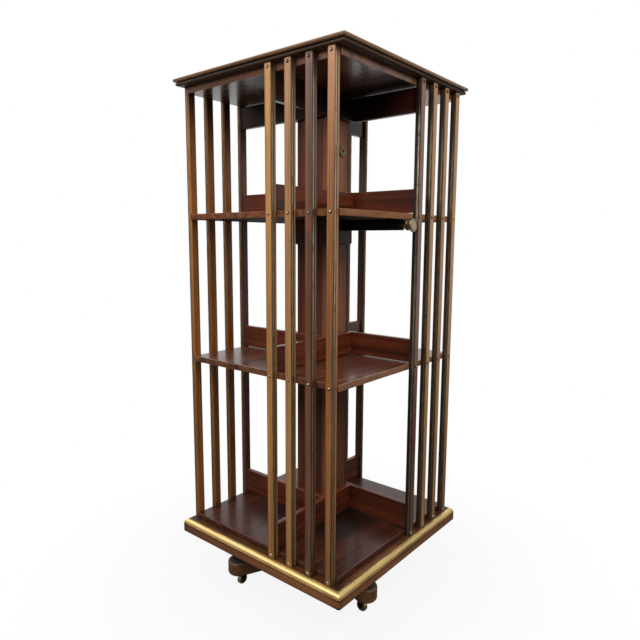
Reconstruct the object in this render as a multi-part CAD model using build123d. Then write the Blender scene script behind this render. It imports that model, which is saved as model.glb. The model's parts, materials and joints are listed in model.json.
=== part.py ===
"""Revolving bookcase: a slatted case of three tiers that turns on a spindle above a cross on castors."""

import math
import os

from build123d import *

# All sizes are in millimetres. The origin is on the floor, on the axis of the spindle.
# +X runs along the left face, +Y along the right face, and +Z is up.

# Castors
wheel_radius = 13.0
wheel_width = 11.0
wheel_rounding = 3.2
wheel_recess_depth = 1.0
wheel_rim = 4.0
wheel_boss_radius = 5.0
axle_radius = 2.5
rivet_radius = 3.6
rivet_height = 1.0
castor_trail = 9.0
castor_turn = 23.0
fork_cheek = 2.5
fork_crown = 2.6
fork_crown_overhang = 6.0
fork_eye_radius = 4.8
fork_seat_radius = 9.0
stem_radius = 4.0
stem_length = 26.0
plate_radius = 18.0
plate_thickness = 2.8
plate_boss_radius = 8.5
plate_boss_height = 2.6
plate_screw_margin = 2.0
plate_screw_count = 3
castor_screw_radius = 1.5
castor_screw_head_radius = 3.0
castor_screw_length = 15.0

# Cross of two bearers
cross_turn = -24.3
foot_circle_radius = 227.8
foot_radius = 27.0
foot_height = 33.5
foot_rounding = 7.0
bearer_easing = 4.0
pad_inset = 9.0
pad_thickness = 4.0
pad_rounding = 1.5

# Pivot
hub_radius = 75.0
hub_height = 24.3
hub_easing = 3.0
spindle_radius = 13.0
spindle_tip_chamfer = 2.0
spindle_tip_room = 8.0
flange_radius = 45.0
flange_thickness = 6.0
flange_screw_margin = 4.0
flange_screw_radius = 2.5
flange_screw_head_radius = 5.0
flange_screw_length = 46.0
washer_radius = 28.0
washer_thickness = 3.3
thrust_plate_radius = 55.0
thrust_plate_thickness = 5.0
thrust_screw_margin = 5.2
board_screw_radius = 2.0
board_screw_head_radius = 3.8
board_screw_length = 15.0
driver_slot_width = 0.9
driver_slot_depth = 0.6
bush_wall = 7.0
bush_flange_width = 4.0
bush_flange_thickness = 4.0
top_block_height = 40.0
top_block_drop = 7.0

# Boards of the case
base_width = 508.0
base_thickness = 32.5
base_rounding = 2.5
base_corner_rounding = 6.0
base_bore_room = 7.0
moulding_height = 10.8
moulding_depth = 12.0
moulding_lower_fillet = 1.6
moulding_upper_fillet = 1.4
shelf_thickness = 14.0
shelf_easing = 1.5
frieze_thickness = 16.0
bottom_bay_height = 398.7
middle_bay_height = 331.0
top_bay_height = 275.5
bullnose_thickness = 8.5
bullnose_overhang = 8.5
bullnose_flat = 0.3
quirk_height = 1.0
quirk_overhang = 1.0
bead_thickness = 7.0
bead_overhang = 4.5
bead_flat = 0.4

# Slats
slat_width = 18.5
slat_thickness = 14.0
slat_margin = 1.0
slat_easing = 1.2
slats_per_face = 4
slat_column_lap = 5.0
slat_corner_inset = 4.4
slat_top_easing = 1.5
strip_width = 4.8
strip_thickness = 1.8
strip_line = 0.6
strip_recess = 0.4
strip_lip = 0.4
slat_screw_radius = 2.0
slat_screw_head_radius = 3.6
slat_screw_head_height = 2.2
slat_screw_slot_depth = 1.1
slat_screw_grip = 18.0

# Column and the boards round it
column_width = 90.0
column_board = 10.0
stop_thickness = 12.0
stop_slit = 2.0
upper_stop_height = 52.5
lower_stop_height = 54.5
bottom_stop_height = 62.0
top_rail_height = 53.5
cleat_height = 57.5
cleat_thickness = 5.0
cleat_lip = 1.0
socket_radius = 12.5
socket_thickness = 3.0
socket_rounding = 1.2
socket_hole_radius = 4.0
socket_edge_margin = 18.5
socket_below_rails = 71.0

# Pull-out arm
housing_width = 22.0
housing_floor = 5.3
housing_end_wall = 8.0
housing_easing = 1.5
lug_length = 12.0
lug_margin = 0.7
lug_thickness = 4.0
lug_inset = 37.0
rod_radius = 5.5
rod_tail_room = 2.0
tenon_radius = 3.5
tenon_length = 18.0
knob_neck_radius = 6.7
knob_neck_length = 1.5
knob_cone_radius = 11.7
knob_cone_length = 14.0
knob_lip_length = 2.0
knob_groove_radius = 9.5
knob_groove_length = 8.5
knob_disc_radius = 15.2
knob_disc_thickness = 5.0
knob_disc_rounding = 2.0
knob_proud = 1.5
knob_slat_gap = 5.0
knob_shelf_gap = 1.0

# Clearances
running_fit = 0.05
thrust_gap = 0.2
screw_fit = 0.05
stem_room = 0.5
fork_side_gap = 0.5
fork_crown_gap = 0.8
knob_gap = 0.5

# Levels, from the floor up
crown_bottom = 2 * wheel_radius + fork_crown_gap
crown_top = crown_bottom + fork_crown
boss_bottom = crown_top + thrust_gap
plate_bottom = boss_bottom + plate_boss_height
foot_bottom = plate_bottom + plate_thickness
foot_top = foot_bottom + foot_height
hub_top = foot_top + hub_height
flange_top = hub_top + flange_thickness
washer_top = flange_top + washer_thickness
thrust_plate_bottom = washer_top + thrust_gap
base_bottom = thrust_plate_bottom + thrust_plate_thickness
base_top = base_bottom + base_thickness
bottom_shelf_top = base_top + shelf_thickness
lower_shelf_bottom = bottom_shelf_top + bottom_bay_height
lower_shelf_top = lower_shelf_bottom + shelf_thickness
upper_shelf_bottom = lower_shelf_top + middle_bay_height
upper_shelf_top = upper_shelf_bottom + shelf_thickness
frieze_bottom = upper_shelf_top + top_bay_height
frieze_top = frieze_bottom + frieze_thickness

# Half widths that several pieces share
base_half = base_width / 2
moulding_inside = base_half - moulding_depth
slat_face = moulding_inside - slat_margin
shelf_half = slat_face - slat_thickness
column_half = column_width / 2
column_inside_half = column_half - column_board

BOTTOM = (Align.CENTER, Align.CENTER, Align.MIN)
tolerance = 1e-4


def slab(low, high):
    """A rectangular block between two opposite corners."""
    size = [high[i] - low[i] for i in range(3)]
    return Pos(*low) * Box(*size, align=(Align.MIN, Align.MIN, Align.MIN))


def square(half, low, high):
    """A square board about the axis, between two levels."""
    return slab((-half, -half, low), (half, half, high))


def disc(radius, low, high):
    """A round of the given radius about the axis, between two levels."""
    return Pos(0, 0, low) * Cylinder(radius, high - low, align=BOTTOM)


def quarter_turns(shape):
    """The shape and its three copies, a quarter turn apart about the axis."""
    return [Rot(0, 0, 90 * turn) * shape for turn in range(4)]


def at_feet(shape):
    """Four copies of a shape that is drawn about a foot's own axis, +X pointing outwards."""
    return [Rot(0, 0, cross_turn + 90 * turn) * Pos(foot_circle_radius, 0, 0) * shape for turn in range(4)]


def circle_of(shape, radius, count):
    """Copies of a shape round a circle about the axis."""
    return [Rot(0, 0, 360 / count * turn) * Pos(radius, 0, 0) * shape for turn in range(count)]


def level_edges(shape, level):
    """The edges that lie flat at a level."""
    return shape.edges().filter_by_position(Axis.Z, level - tolerance, level + tolerance)


def countersunk(radius, head_radius, length):
    """A countersunk shape along -Z, its flat head at z = 0."""
    head_height = head_radius - radius
    head = Pos(0, 0, -head_height) * Cone(radius, head_radius, head_height, align=BOTTOM)
    return head + Pos(0, 0, -length) * Cylinder(radius, length, align=BOTTOM)


def wood_screw(radius, head_radius, length):
    """A countersunk screw along -Z with a driver's slot in its head, and the hole that it goes into."""
    slot = Box(2 * head_radius, driver_slot_width, 2 * driver_slot_depth)
    hole = countersunk(radius + screw_fit, head_radius + screw_fit, length + screw_fit)
    return countersunk(radius, head_radius, length) - slot, hole


def mitred(points):
    """A length round the left face, mitred at both ends. The points are (distance from the axis, level)."""
    reach = max(point[0] for point in points)
    low = min(point[1] for point in points)
    high = max(point[1] for point in points)
    section = Plane.YZ * make_face(Polyline([(-d, z) for d, z in points], close=True))
    length = extrude(section, amount=2 * reach, both=True)
    corner = make_face(Polyline([(0, 0), (-2 * reach, -2 * reach), (2 * reach, -2 * reach)], close=True))
    return length & Pos(0, 0, low) * extrude(corner, amount=high - low)


pieces = {}

# Castors: a wheel on the fork's riveted axle, and the fork's stem turning in a plate under the foot.
# Each is drawn about the swivel axis, the wheel trailing towards -X, and then turned by the same angle.

wheel_section = Pos((wheel_radius + axle_radius + running_fit) / 2, 0) * Rectangle(
    wheel_radius - axle_radius - running_fit, wheel_width
)
wheel_section = fillet(wheel_section.vertices().sort_by(Axis.X)[-2:], wheel_rounding)
recess_length = wheel_radius - wheel_rim - wheel_boss_radius
for side in (-1, 1):
    recess = Rectangle(recess_length, 2 * wheel_recess_depth)
    wheel_section -= Pos(wheel_boss_radius + recess_length / 2, side * wheel_width / 2) * recess
wheel = Pos(-castor_trail, 0, wheel_radius) * revolve(wheel_section, Axis.Y)

cheek_inside = wheel_width / 2 + fork_side_gap
cheek_outside = cheek_inside + fork_cheek
cheek_middle = (cheek_inside + cheek_outside) / 2
crown_back = -castor_trail - fork_crown_overhang
fork = slab((crown_back, -cheek_outside, crown_bottom), (0, cheek_outside, crown_top))
fork += disc(fork_seat_radius, crown_bottom, crown_top)
fork += disc(stem_radius, crown_top, crown_top + stem_length)
cheek_outline = make_face(
    Polyline(
        [
            (-castor_trail - fork_eye_radius, wheel_radius),
            (-castor_trail + fork_eye_radius, wheel_radius),
            (0, crown_top),
            (crown_back, crown_top),
        ],
        close=True,
    )
)
cheek_outline += Pos(-castor_trail, wheel_radius) * Circle(fork_eye_radius)
cheek = extrude(Plane.XZ * cheek_outline, amount=fork_cheek / 2, both=True)
axle_centre = Pos(-castor_trail, 0, wheel_radius) * Rot(90, 0, 0)
rivet = axle_centre * Cylinder(rivet_radius, rivet_height)
for side in (-1, 1):
    fork += Pos(0, side * cheek_middle, 0) * cheek
    fork += Pos(0, side * (cheek_outside + rivet_height / 2), 0) * rivet
fork += axle_centre * Cylinder(axle_radius, 2 * cheek_outside)

# The castor's screws go up into the foot, their heads flush with the underside of the plate.
castor_screw, castor_screw_hole = wood_screw(
    castor_screw_radius, castor_screw_head_radius, castor_screw_length
)
upwards = Pos(0, 0, plate_bottom) * Rot(180, 0, 0)
plate_screw_circle = plate_radius - castor_screw_head_radius - plate_screw_margin
castor_screws = circle_of(upwards * castor_screw, plate_screw_circle, plate_screw_count)
castor_screw_holes = circle_of(upwards * castor_screw_hole, plate_screw_circle, plate_screw_count)
plate = disc(plate_radius, plate_bottom, foot_bottom) + disc(plate_boss_radius, boss_bottom, plate_bottom)
plate -= disc(stem_radius + running_fit, boss_bottom, foot_bottom)
plate -= castor_screw_holes

turned = Rot(0, 0, castor_turn)
for number, shape in enumerate(at_feet(turned * fork), 1):
    pieces[f"castor_fork_{number}"] = shape
for number, shape in enumerate(at_feet(turned * wheel), 1):
    pieces[f"castor_wheel_{number}"] = shape
pieces["castor_plates"] = at_feet(plate)
pieces["castor_screws"] = [placed for screw in castor_screws for placed in at_feet(screw)]

# Cross: two bearers, their round ends the feet, halved together where they cross.

arm_outline = SlotCenterToCenter(2 * foot_circle_radius, 2 * foot_radius)
bearer = Pos(0, 0, foot_bottom) * extrude(arm_outline, foot_height)
bearer = fillet(level_edges(bearer, foot_bottom), foot_rounding)
bearer = fillet(level_edges(bearer, foot_top), bearer_easing)
stem_socket = disc(stem_radius + stem_room, foot_bottom, crown_top + stem_length + stem_room)
for end in (0, 180):
    outwards = Rot(0, 0, end) * Pos(foot_circle_radius, 0, 0)
    bearer -= outwards * stem_socket
    bearer -= [outwards * hole for hole in castor_screw_holes]

flange_screw, flange_screw_hole = wood_screw(
    flange_screw_radius, flange_screw_head_radius, flange_screw_length
)
flange_screw_circle = flange_radius - flange_screw_head_radius - flange_screw_margin
flange_screws = circle_of(Pos(0, 0, flange_top) * flange_screw, flange_screw_circle, 4)
flange_screw_holes = circle_of(Pos(0, 0, flange_top) * flange_screw_hole, flange_screw_circle, 4)
bearer -= flange_screw_holes

to_cross = Rot(0, 0, cross_turn)
halving = (foot_bottom + foot_top) / 2
notch_above = slab((-foot_radius, -foot_radius, halving), (foot_radius, foot_radius, foot_top))
notch_below = slab((-foot_radius, -foot_radius, foot_bottom), (foot_radius, foot_radius, halving))
pieces["bearer_lower"] = to_cross * (bearer - notch_above)
pieces["bearer_upper"] = to_cross * Rot(0, 0, 90) * (bearer - notch_below)

pad = disc(foot_radius - pad_inset, foot_top, foot_top + pad_thickness)
pieces["foot_pads"] = at_feet(fillet(level_edges(pad, foot_top + pad_thickness), pad_rounding))

# Pivot: a hub on the cross, the spindle standing in its flange, and the washer that carries the case.

hub = disc(hub_radius, foot_top, hub_top)
hub = fillet(level_edges(hub, hub_top), hub_easing)
hub -= disc(spindle_radius, foot_top, hub_top)
hub -= flange_screw_holes
pieces["pivot_hub"] = to_cross * hub

flange = disc(flange_radius, hub_top, flange_top) - disc(spindle_radius, hub_top, flange_top)
flange -= flange_screw_holes
pieces["spindle_flange"] = to_cross * flange
pieces["flange_screws"] = [to_cross * screw for screw in flange_screws]

washer = disc(washer_radius, flange_top, washer_top) - disc(spindle_radius, flange_top, washer_top)
pieces["thrust_washer"] = washer

top_block_top = frieze_bottom - top_block_drop
top_block_bottom = top_block_top - top_block_height
spindle_top = top_block_top - spindle_tip_room
spindle = disc(spindle_radius, foot_top, spindle_top)
pieces["spindle"] = chamfer(level_edges(spindle, spindle_top), spindle_tip_chamfer)

# The thrust plate and the arm's housing are held up by the same kind of screw.
board_screw, board_screw_hole = wood_screw(board_screw_radius, board_screw_head_radius, board_screw_length)
under_plate = Pos(0, 0, thrust_plate_bottom) * Rot(180, 0, 0)
thrust_screw_circle = thrust_plate_radius - board_screw_head_radius - thrust_screw_margin
thrust_screw_holes = circle_of(under_plate * board_screw_hole, thrust_screw_circle, 4)
thrust_plate = disc(thrust_plate_radius, thrust_plate_bottom, base_bottom)
thrust_plate -= disc(spindle_radius + running_fit, thrust_plate_bottom, base_bottom)
pieces["thrust_plate"] = thrust_plate - thrust_screw_holes
pieces["board_screws"] = circle_of(under_plate * board_screw, thrust_screw_circle, 4)

bush_radius = spindle_radius + running_fit + bush_wall
bush_bottom = top_block_bottom - bush_flange_thickness
bush = disc(bush_radius, top_block_bottom, top_block_top)
bush += disc(bush_radius + bush_flange_width, bush_bottom, top_block_bottom)
pieces["top_bush"] = bush - disc(spindle_radius + running_fit, bush_bottom, top_block_top)
top_block = square(column_inside_half, top_block_bottom, top_block_top)
pieces["top_block"] = top_block - disc(bush_radius, top_block_bottom, top_block_top)

# Slats: bars screwed to the edges of the boards, a brass strip let into the groove in each side.
# They are drawn for the left face, on which the boards' edges are at y = -shelf_half.

board_edges = [
    (base_top, bottom_shelf_top),
    (lower_shelf_bottom, lower_shelf_top),
    (upper_shelf_bottom, upper_shelf_top),
    (frieze_bottom, frieze_top),
]
screw_levels = [(low + high) / 2 for low, high in board_edges]
slat_middle = -(slat_face + shelf_half) / 2
slat_inner_edge = column_half - slat_column_lap
slat_outer_edge = shelf_half - slat_corner_inset
slat_pitch = (slat_outer_edge - slat_inner_edge - slat_width) / (slats_per_face - 1)
slat_centres = [slat_inner_edge + slat_width / 2 + slat_pitch * place for place in range(slats_per_face)]
groove_width = strip_width + 2 * strip_line
groove_depth = strip_thickness + strip_recess
groove_centre = -slat_face + slat_easing + strip_lip + groove_width / 2

bar = Pos(0, slat_middle) * Rectangle(slat_width, slat_thickness)
bar = fillet(bar.vertices().sort_by(Axis.Y)[:2], slat_easing)
strip_outlines = []
for side in (-1, 1):
    bar -= Pos(side * slat_width / 2, groove_centre) * Rectangle(2 * groove_depth, groove_width)
    strip_centre = side * (slat_width / 2 - strip_recess - strip_thickness / 2)
    strip_outlines.append(Pos(strip_centre, groove_centre) * Rectangle(strip_thickness, strip_width))
slat = Pos(0, 0, base_top) * extrude(bar, frieze_top - base_top)
easing_side = math.sqrt(2) * slat_top_easing
easing = Rot(0, 45, 0) * Box(easing_side, 2 * slat_thickness, easing_side)
for side in (-1, 1):
    slat -= Pos(side * slat_width / 2, slat_middle, frieze_top) * easing
strip_length = frieze_top - slat_top_easing - base_top
strips = [Pos(0, 0, base_top) * extrude(outline, strip_length) for outline in strip_outlines]

shank_length = slat_thickness + slat_screw_grip
dome_radius = (slat_screw_head_radius**2 + slat_screw_head_height**2) / (2 * slat_screw_head_height)
dome = Pos(0, 0, slat_screw_head_height - dome_radius) * Sphere(dome_radius)
dome &= Cylinder(2 * slat_screw_head_radius, 2 * slat_screw_head_height, align=BOTTOM)
slat_screw = dome + Pos(0, 0, -shank_length) * Cylinder(slat_screw_radius, shank_length, align=BOTTOM)
slat_screw -= Pos(0, 0, slat_screw_head_height) * Box(
    2 * slat_screw_head_radius, driver_slot_width, 2 * slat_screw_slot_depth
)
shank_hole = Pos(0, 0, -shank_length - screw_fit) * Cylinder(
    slat_screw_radius + screw_fit, shank_length + screw_fit, align=BOTTOM
)
inwards = [Pos(0, -slat_face, level) * Rot(90, 0, 0) for level in screw_levels]
slat -= [place * shank_hole for place in inwards]

face_names = ("left", "right", "back_right", "back_left")
all_strips = []
all_slat_screws = []
for turn, face in enumerate(face_names):
    for number, centre in enumerate(slat_centres, 1):
        place = Rot(0, 0, 90 * turn) * Pos(centre, 0, 0)
        pieces[f"slat_{face}_{number}"] = place * slat
        all_strips += [place * strip for strip in strips]
        all_slat_screws += [place * spot * slat_screw for spot in inwards]
pieces["slat_strips"] = all_strips
pieces["slat_screws"] = all_slat_screws


def screw_holes(row):
    """The holes for one row of slat screws, all round the case."""
    spots = [Pos(centre, 0, 0) * inwards[row] * shank_hole for centre in slat_centres]
    return [hole for spot in spots for hole in quarter_turns(spot)]


# Boards: the base with its brass moulding, three shelves round the column, the frieze and the top.

moulding_bottom = base_top - moulding_height
base_board = square(base_half, base_bottom, moulding_bottom)
base_board = fillet(base_board.edges().filter_by(Axis.Z), base_corner_rounding)
base_board = fillet(level_edges(base_board, base_bottom), base_rounding)
base_board += square(moulding_inside, moulding_bottom, base_top)
base_board -= disc(spindle_radius + base_bore_room, base_bottom, base_top)
pieces["base_board"] = base_board - thrust_screw_holes

ovolo_width = moulding_depth - moulding_upper_fillet - moulding_lower_fillet
ovolo_height = moulding_height - moulding_upper_fillet - moulding_lower_fillet
ovolo_steps = 10
ovolo = []
for step in range(ovolo_steps + 1):
    angle = math.radians(90 * step / ovolo_steps)
    ovolo.append(
        (
            base_half - moulding_lower_fillet - ovolo_width * (1 - math.cos(angle)),
            moulding_bottom + moulding_lower_fillet + ovolo_height * math.sin(angle),
        )
    )
moulding_section = [
    (moulding_inside, moulding_bottom),
    (base_half, moulding_bottom),
    (base_half, moulding_bottom + moulding_lower_fillet),
    *ovolo,
    (moulding_inside + moulding_upper_fillet, base_top),
    (moulding_inside, base_top),
]
pieces["brass_mouldings"] = quarter_turns(mitred(moulding_section))


def shelf(row):
    """A shelf with eased edges, the column's square hole and the slat screws' holes."""
    low, high = board_edges[row]
    board = square(shelf_half, low, high)
    board = fillet(level_edges(board, low) + level_edges(board, high), shelf_easing)
    return board - square(column_half, low, high) - screw_holes(row)


pieces["bottom_shelf"] = shelf(0)
pieces["lower_shelf"] = shelf(1)
pieces["upper_shelf"] = shelf(2)
pieces["frieze_board"] = square(shelf_half, frieze_bottom, frieze_top) - screw_holes(3)


def rounded_board(half, low, high, flat):
    """A square board of which the edges are rounded over, a narrow flat left between the roundings."""
    board = square(half, low, high)
    return fillet(level_edges(board, low) + level_edges(board, high), (high - low - flat) / 2)


bead_top = frieze_top + bead_thickness
quirk_top = bead_top + quirk_height
top_level = quirk_top + bullnose_thickness
top_board = rounded_board(slat_face + bead_overhang, frieze_top, bead_top, bead_flat)
top_board += square(slat_face + quirk_overhang, bead_top, quirk_top)
top_board += rounded_board(slat_face + bullnose_overhang, quirk_top, top_level, bullnose_flat)
pieces["top_board"] = top_board

# Column: four boards in a pinwheel make a hollow post round the spindle.

column_start = (-column_half, -column_half, base_top)
column_end = (column_inside_half, -column_inside_half, frieze_bottom)
for face, shape in zip(face_names, quarter_turns(slab(column_start, column_end))):
    pieces[f"column_{face}"] = shape

# Stops and rails: boards fixed to the column's faces in a pinwheel, the backs of the four bays of a tier.
# A slit is left between each of them and the shelf or frieze.


def pinwheel(low, high):
    """Four boards against the column's faces, each running out to the slats of the next face."""
    board = slab((-shelf_half, -column_half - stop_thickness, low), (column_half, -column_half, high))
    return quarter_turns(board)


def stops(floor, height):
    """The four stops that stand above a shelf."""
    return pinwheel(floor + stop_slit, floor + stop_slit + height)


pieces["stops_upper"] = stops(upper_shelf_top, upper_stop_height)
pieces["stops_lower"] = stops(lower_shelf_top, lower_stop_height)
pieces["stops_bottom"] = stops(bottom_shelf_top, bottom_stop_height)
rail_top = frieze_bottom - stop_slit
rail_bottom = rail_top - top_rail_height
pieces["top_rails"] = pinwheel(rail_bottom, rail_top)

# Cleats: a mitred collar round the column, under the upper shelf.

cleat_bottom = upper_shelf_bottom - cleat_height
cleat_face = column_half + cleat_thickness
cleat_section = [
    (column_half, cleat_bottom),
    (column_half + cleat_lip, cleat_bottom),
    (cleat_face, cleat_bottom + cleat_thickness - cleat_lip),
    (cleat_face, upper_shelf_bottom),
    (column_half, upper_shelf_bottom),
]
pieces["shelf_cleats"] = quarter_turns(mitred(cleat_section))

# Socket plate: a round brass plate with a hole, on the column's right face.

socket = Cylinder(socket_radius, socket_thickness, align=BOTTOM)
socket = fillet(level_edges(socket, socket_thickness), socket_rounding)
socket -= Cylinder(socket_hole_radius, socket_thickness, align=BOTTOM)
socket_across = column_half - socket_edge_margin - socket_radius
socket_place = Pos(column_half, socket_across, rail_bottom - socket_below_rails) * Rot(0, 90, 0)
pieces["socket_plate"] = socket_place * socket

# Pull-out arm: a black housing under the upper shelf, and the rod that slides in it with its turned knob.

knob_end = slat_face + knob_proud
groove_end = knob_end - knob_disc_thickness
lip_end = groove_end - knob_groove_length
cone_end = lip_end - knob_lip_length
neck_end = cone_end - knob_cone_length
knob_start = neck_end - knob_neck_length
arm_across = slat_inner_edge - knob_slat_gap - knob_disc_radius
arm_level = upper_shelf_bottom - knob_shelf_gap - knob_cone_radius
on_axis = Pos(0, arm_across, arm_level) * Rot(0, 90, 0)

housing_start = cleat_face
housing_end = knob_start - knob_gap
housing_bottom = arm_level - rod_radius - housing_floor
housing = slab(
    (housing_start, arm_across - housing_width / 2, housing_bottom),
    (housing_end, arm_across + housing_width / 2, upper_shelf_bottom),
)
housing = fillet(level_edges(housing, housing_bottom).filter_by(Axis.X), housing_easing)
lug_bottom = upper_shelf_bottom - lug_thickness
lug_reach = 2 * (board_screw_head_radius + lug_margin)
lug = Box(lug_length, housing_width + 2 * lug_reach, lug_thickness, align=BOTTOM)
lug_places = []
for along in (housing_start + lug_inset, housing_end - lug_inset):
    housing += Pos(along, arm_across, lug_bottom) * lug
    for side in (-1, 1):
        across = arm_across + side * (housing_width + lug_reach) / 2
        lug_places.append(Pos(along, across, lug_bottom) * Rot(180, 0, 0))
bore_start = housing_start + housing_end_wall
housing -= on_axis * disc(rod_radius + running_fit, bore_start, housing_end)
lug_screw_holes = [place * board_screw_hole for place in lug_places]
pieces["arm_housing"] = housing - lug_screw_holes
pieces["board_screws"] += [place * board_screw for place in lug_places]
pieces["upper_shelf"] -= lug_screw_holes

tenon = disc(tenon_radius, knob_start, knob_start + tenon_length)
pieces["arm_rod"] = on_axis * (disc(rod_radius, bore_start + rod_tail_room, knob_start) + tenon)

knob_section = make_face(
    Polyline(
        [
            (knob_start, 0),
            (knob_start, knob_neck_radius),
            (neck_end, knob_neck_radius),
            (cone_end, knob_cone_radius),
            (lip_end, knob_cone_radius),
            (lip_end, knob_groove_radius),
            (groove_end, knob_groove_radius),
            (groove_end, knob_disc_radius),
            (knob_end, knob_disc_radius),
            (knob_end, 0),
        ],
        close=True,
    )
)
rim = [vertex for vertex in knob_section.vertices() if abs(vertex.Y - knob_disc_radius) < tolerance]
knob_section = fillet(rim, knob_disc_rounding)
knob = Pos(0, arm_across, arm_level) * revolve(knob_section, Axis.X)
pieces["arm_knob"] = knob - on_axis * tenon

os.makedirs("parts", exist_ok=True)
for name, shape in pieces.items():
    if isinstance(shape, list):
        solids = [solid for piece in shape for solid in piece.solids()]
    else:
        solids = shape.solids()
    export_step(Compound(solids), f"parts/{name}.step")
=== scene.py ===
import json
import math
import random

import bmesh
import bpy
from mathutils import Matrix, Vector


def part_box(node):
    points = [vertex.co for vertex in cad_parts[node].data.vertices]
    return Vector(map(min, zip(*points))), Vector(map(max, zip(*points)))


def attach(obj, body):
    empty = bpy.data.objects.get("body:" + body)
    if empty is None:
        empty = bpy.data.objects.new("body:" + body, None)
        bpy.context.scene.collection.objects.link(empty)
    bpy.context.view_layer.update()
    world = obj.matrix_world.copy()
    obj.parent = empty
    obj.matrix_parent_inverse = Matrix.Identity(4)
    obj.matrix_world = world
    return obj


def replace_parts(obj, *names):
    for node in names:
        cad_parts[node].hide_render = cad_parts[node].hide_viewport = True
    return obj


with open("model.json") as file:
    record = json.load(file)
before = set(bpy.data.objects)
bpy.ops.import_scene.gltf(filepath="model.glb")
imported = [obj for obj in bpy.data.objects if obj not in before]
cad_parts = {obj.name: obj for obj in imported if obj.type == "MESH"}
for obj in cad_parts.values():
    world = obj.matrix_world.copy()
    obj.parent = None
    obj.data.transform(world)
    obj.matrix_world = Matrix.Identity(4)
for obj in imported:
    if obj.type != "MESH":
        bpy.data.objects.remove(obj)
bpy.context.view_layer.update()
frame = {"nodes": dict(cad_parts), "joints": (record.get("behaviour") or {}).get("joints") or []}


# Castors
# Four small bronze castors carry the cross. Each wheel is turned, with a rounded tread and a sunk ring
# on both sides, and runs on a pin riveted through a fork that swivels in a plate under the foot.

class Wire:
    """A socket in the node tree of a finish. Sums and products of wires add Math nodes to that tree."""

    def __init__(self, tree, socket=None):
        self.tree = tree
        self.socket = socket

    def node(self, kind, settings=None, sockets=None, out=0):
        """Adds a node, makes its settings, fills or links its sockets, and gives one of its outputs."""
        made = self.tree.nodes.new(kind)
        for name, value in (settings or {}).items():
            setattr(made, name, value)
        for name, value in (sockets or {}).items():
            if isinstance(value, Wire):
                self.tree.links.new(value.socket, made.inputs[name])
            else:
                made.inputs[name].default_value = value
        return Wire(self.tree, made.outputs[out])

    def maths(self, operation, *values):
        return self.node("ShaderNodeMath", {"operation": operation}, dict(enumerate(values)))

    def __add__(self, other):
        return self.maths("ADD", self, other)

    def __sub__(self, other):
        return self.maths("SUBTRACT", self, other)

    def __rsub__(self, other):
        return self.maths("SUBTRACT", other, self)

    def __mul__(self, other):
        return self.maths("MULTIPLY", self, other)

    __radd__ = __add__
    __rmul__ = __mul__

    def between(self, low, high):
        """A soft step that is 0 up to the low value and 1 from the high one."""
        values = {"Value": self, "From Min": low, "From Max": high}
        return self.node("ShaderNodeMapRange", {"interpolation_type": "SMOOTHSTEP"}, values)

    def mix(self, first, second):
        """The first colour where this wire is 0, and the second where it is 1."""
        return self.node("ShaderNodeMix", {"data_type": "RGBA"}, {0: self, 6: first, 7: second}, 2)

    def mark(self, name, out):
        """What the points of a mesh carry under this name."""
        return self.node("ShaderNodeAttribute", {"attribute_name": name}, out=out)

    def cloud(self, stretch, detail=2.0, distortion=0.0):
        """Soft noise from 0 to 1 at this place, with so many cycles a metre along X, Y and Z."""
        drawn_out = self.node("ShaderNodeVectorMath", {"operation": "MULTIPLY"}, {0: self, 1: stretch})
        values = {"Vector": drawn_out, "Scale": 1.0, "Detail": detail, "Distortion": distortion}
        return self.node("ShaderNodeTexNoise", {}, values)

    def relief(self, strength, depth):
        """A normal that takes this wire as a height, so deep in metres."""
        return self.node("ShaderNodeBump", {}, {"Strength": strength, "Distance": depth, "Height": self})

    def feed(self, shader, socket):
        self.tree.links.new(self.socket, shader.inputs[socket])


def paint(red, green, blue):
    """A colour as the eye reads it, each part from 0 to 255, as the linear values of a shader."""
    parts = [part / 255 for part in (red, green, blue)]
    linear = [part / 12.92 if part < 0.04 else ((part + 0.055) / 1.055) ** 2.4 for part in parts]
    return (*linear, 1.0)


def new_finish(name, constants):
    """A new material with the values that are the same all over it, a wire to draw from, and its shader."""
    material = bpy.data.materials.new(name)
    material.use_nodes = True
    shader = material.node_tree.nodes["Principled BSDF"]
    for socket, value in constants.items():
        shader.inputs[socket].default_value = value
    return material, Wire(material.node_tree), shader


def metal_finish(name, bright, tarnish, dullness, cover, patch):
    """Old metal: bright where it is rubbed, tarnished in patches, with fine pits. Dullness is its roughness,
    cover how much of it is tarnished, and patch the size of the patches in metres."""
    material, pen, shader = new_finish(name, {"Metallic": 1.0})
    place = pen.node("ShaderNodeTexCoord", out="Object")
    patches = place.cloud((1 / patch,) * 3, 5.0, 0.4)
    pits = place.cloud((9 / patch,) * 3, 3.0)
    rubbed = pen.mark("wear_and_painted_light", "Fac")
    # On the screw heads the wear also holds a painted highlight in the middle and painted shade at the rim.
    darkening = (patches * 0.7 + pits * 0.3 - rubbed * 0.25).between(0.62 - 0.3 * cover, 0.78 - 0.3 * cover)
    darkening.mix(paint(*bright), paint(*tarnish)).feed(shader, "Base Color")
    (dullness + darkening * 0.25 + (pits - 0.5) * 0.12).feed(shader, "Roughness")
    (1 - darkening * 0.45).feed(shader, "Metallic")
    (pits + darkening * 0.4).relief(strength=0.18, depth=0.0004).feed(shader, "Normal")
    return material


def dress(finish, *nodes):
    """Gives a finish to pieces that keep their own shape."""
    for node in nodes:
        for held in frame["nodes"][node].material_slots:
            held.material = finish


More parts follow.
